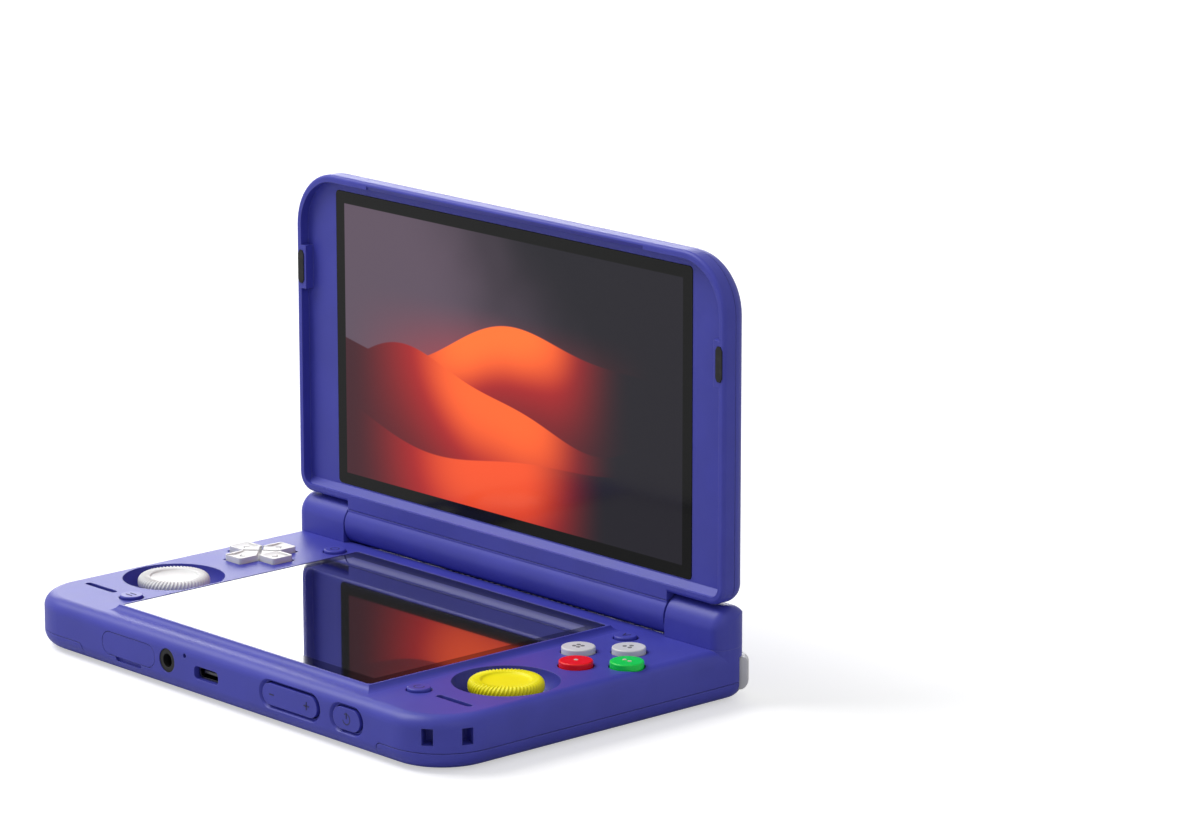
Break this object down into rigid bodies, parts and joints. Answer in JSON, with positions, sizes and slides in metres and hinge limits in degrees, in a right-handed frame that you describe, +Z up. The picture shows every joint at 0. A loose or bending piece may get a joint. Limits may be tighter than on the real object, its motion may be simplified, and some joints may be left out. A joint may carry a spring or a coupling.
{
  "type": "clamshell handheld game console",
  "caption": "Pocket clamshell console: a screen lid on a friction hinge, over a base with a second screen, tilting sticks, cross pad, buttons, shoulder keys and side ports.",
  "frame": {"origin": "middle of the base's footprint, on the table under the rubber feet", "axes": "+X to the player's right, +Y from the front edge towards the hinge, +Z up; the lid stands open at a right angle"},
  "size_m": [0.169, 0.108, 0.115],
  "materials": {
    "indigo": "fine satin moulding, violet-blue",
    "rubber": "soft black rubber",
    "steel": "plated steel",
    "screen_glass": "glossy black cover glass",
    "display": "display panel",
    "board": "green lacquered board",
    "cell": "foil pouch",
    "black_plastic": "black moulding",
    "heat_metal": "copper toned metal",
    "white": "satin white moulding",
    "yellow": "satin yellow moulding",
    "light_grey": "satin light grey moulding",
    "green": "satin green moulding",
    "red": "satin red moulding"
  },
  "bodies": {
    "base": {"base_top_shell": "indigo", "base_bottom_cover": "indigo", "rubber_feet": "rubber", "case_screws": "steel", "lower_glass": "screen_glass", "lower_display": "display", "mainboard": "board", "battery": "cell", "blower_case": "black_plastic", "heat_sink": "heat_metal", "speaker_left": "black_plastic", "speaker_right": "black_plastic", "headphone_jack": "black_plastic", "usb_port": "steel", "card_slot": "steel", "side_key_board": "board", "stick_housing_left": "black_plastic", "stick_housing_right": "black_plastic", "left_key_board": "board", "right_key_board": "board", "shoulder_pin_left": "steel", "shoulder_pin_right": "steel", "hinge_barrel_left": "steel", "hinge_barrel_right": "steel", "vent_grille": "black_plastic", "hinge_ear_left": "indigo", "hinge_ear_right": "indigo"},
    "lid": {"lid_back_shell": "indigo", "lid_bezel": "indigo", "hinge_cover": "indigo", "upper_glass": "screen_glass", "upper_display": "display", "lid_bumpers": "rubber", "hinge_shaft_left": "steel", "hinge_shaft_right": "steel"},
    "wheel": {"blower_wheel": "black_plastic"},
    "door": {"card_door": "indigo"},
    "rocker": {"volume_rocker": "indigo"},
    "power": {"power_button": "indigo"},
    "yoke_left": {"stick_yoke_left": "steel"},
    "stick_left": {"stick_stem_left": "black_plastic", "stick_cap_left": "white"},
    "yoke_right": {"stick_yoke_right": "steel"},
    "stick_right": {"stick_stem_right": "black_plastic", "stick_cap_right": "yellow"},
    "pad_ring": {"cross_pad_ring": "steel"},
    "pad": {"cross_pad": "white"},
    "north": {"button_north": "light_grey"},
    "east": {"button_east": "green"},
    "south": {"button_south": "red"},
    "west": {"button_west": "light_grey"},
    "menu_fl": {"menu_front_left": "indigo"},
    "menu_rl": {"menu_rear_left": "indigo"},
    "menu_fr": {"menu_front_right": "indigo"},
    "menu_rr": {"menu_rear_right": "indigo"},
    "outer_left": {"shoulder_outer_left": "light_grey"},
    "inner_left": {"shoulder_inner_left": "light_grey"},
    "outer_right": {"shoulder_outer_right": "light_grey"},
    "inner_right": {"shoulder_inner_right": "light_grey"}
  },
  "joints": [
    {"name": "lid_hinge", "type": "hinge", "parent": "base", "child": "lid", "pos_m": [0, 0.0469, 0.0191], "axis": [-1, 0, 0], "range_deg": [-90, 60]},
    {"name": "wheel_spin", "type": "hinge", "parent": "base", "child": "wheel", "pos_m": [0.026, 0.023, 0.008], "axis": [0, 0, 1], "continuous": true},
    {"name": "door_pull", "type": "slide", "parent": "base", "child": "door", "axis": [0, -1, 0], "range_m": [0, 0.006]},
    {"name": "volume_rock", "type": "hinge", "parent": "base", "child": "rocker", "pos_m": [0.0282, -0.0494, 0.0083], "axis": [0, 0, 1], "range_deg": [-2, 2], "stiffness_Nm_per_rad": 0.5},
    {"name": "power_press", "type": "slide", "parent": "base", "child": "power", "axis": [0, 1, 0], "range_m": [0, 0.0005], "stiffness_N_per_m": 2000, "springref_m": -0.0003},
    {"name": "stick_left_pitch", "type": "hinge", "parent": "base", "child": "yoke_left", "pos_m": [-0.0666, -0.0151, 0.0052], "axis": [1, 0, 0], "range_deg": [-10.5, 10.5], "stiffness_Nm_per_rad": 0.03},
    {"name": "stick_left_roll", "type": "hinge", "parent": "yoke_left", "child": "stick_left", "pos_m": [-0.0666, -0.0151, 0.0052], "axis": [0, 1, 0], "range_deg": [-10.5, 10.5], "stiffness_Nm_per_rad": 0.03},
    {"name": "stick_right_pitch", "type": "hinge", "parent": "base", "child": "yoke_right", "pos_m": [0.0666, -0.0151, 0.0052], "axis": [1, 0, 0], "range_deg": [-10.5, 10.5], "stiffness_Nm_per_rad": 0.03},
    {"name": "stick_right_roll", "type": "hinge", "parent": "yoke_right", "child": "stick_right", "pos_m": [0.0666, -0.0151, 0.0052], "axis": [0, 1, 0], "range_deg": [-10.5, 10.5], "stiffness_Nm_per_rad": 0.03},
    {"name": "pad_pitch", "type": "hinge", "parent": "base", "child": "pad_ring", "pos_m": [-0.0682, 0.0157, 0.0106], "axis": [1, 0, 0], "range_deg": [-4.5, 4.5], "stiffness_Nm_per_rad": 0.12},
    {"name": "pad_roll", "type": "hinge", "parent": "pad_ring", "child": "pad", "pos_m": [-0.0682, 0.0157, 0.0106], "axis": [0, 1, 0], "range_deg": [-4.5, 4.5], "stiffness_Nm_per_rad": 0.12},
    {"name": "press_north", "type": "slide", "parent": "base", "child": "north", "axis": [0, 0, -1], "range_m": [0, 0.0012], "stiffness_N_per_m": 500, "springref_m": -0.001},
    {"name": "press_east", "type": "slide", "parent": "base", "child": "east", "axis": [0, 0, -1], "range_m": [0, 0.0012], "stiffness_N_per_m": 500, "springref_m": -0.001},
    {"name": "press_south", "type": "slide", "parent": "base", "child": "south", "axis": [0, 0, -1], "range_m": [0, 0.0012], "stiffness_N_per_m": 500, "springref_m": -0.001},
    {"name": "press_west", "type": "slide", "parent": "base", "child": "west", "axis": [0, 0, -1], "range_m": [0, 0.0012], "stiffness_N_per_m": 500, "springref_m": -0.001},
    {"name": "press_menu_fl", "type": "slide", "parent": "base", "child": "menu_fl", "axis": [0, 0, -1], "range_m": [0, 0.0004], "stiffness_N_per_m": 2000, "springref_m": -0.0003},
    {"name": "press_menu_rl", "type": "slide", "parent": "base", "child": "menu_rl", "axis": [0, 0, -1], "range_m": [0, 0.0004], "stiffness_N_per_m": 2000, "springref_m": -0.0003},
    {"name": "press_menu_fr", "type": "slide", "parent": "base", "child": "menu_fr", "axis": [0, 0, -1], "range_m": [0, 0.0004], "stiffness_N_per_m": 2000, "springref_m": -0.0003},
    {"name": "press_menu_rr", "type": "slide", "parent": "base", "child": "menu_rr", "axis": [0, 0, -1], "range_m": [0, 0.0004], "stiffness_N_per_m": 2000, "springref_m": -0.0003},
    {"name": "press_outer_left", "type": "hinge", "parent": "base", "child": "outer_left", "pos_m": [-0.0682, 0.0466, 0.0083], "axis": [0, 0, 1], "range_deg": [0, 3], "stiffness_Nm_per_rad": 0.3, "springref_deg": -2.29},
    {"name": "press_inner_left", "type": "hinge", "parent": "base", "child": "inner_left", "pos_m": [-0.0682, 0.0466, 0.0055], "axis": [0, 0, -1], "range_deg": [0, 3.5], "stiffness_Nm_per_rad": 0.3, "springref_deg": -2.29},
    {"name": "press_outer_right", "type": "hinge", "parent": "base", "child": "outer_right", "pos_m": [0.0682, 0.0466, 0.0083], "axis": [0, 0, -1], "range_deg": [0, 3], "stiffness_Nm_per_rad": 0.3, "springref_deg": -2.29},
    {"name": "press_inner_right", "type": "hinge", "parent": "base", "child": "inner_right", "pos_m": [0.0682, 0.0466, 0.0055], "axis": [0, 0, 1], "range_deg": [0, 3.5], "stiffness_Nm_per_rad": 0.3, "springref_deg": -2.29}
  ]
}
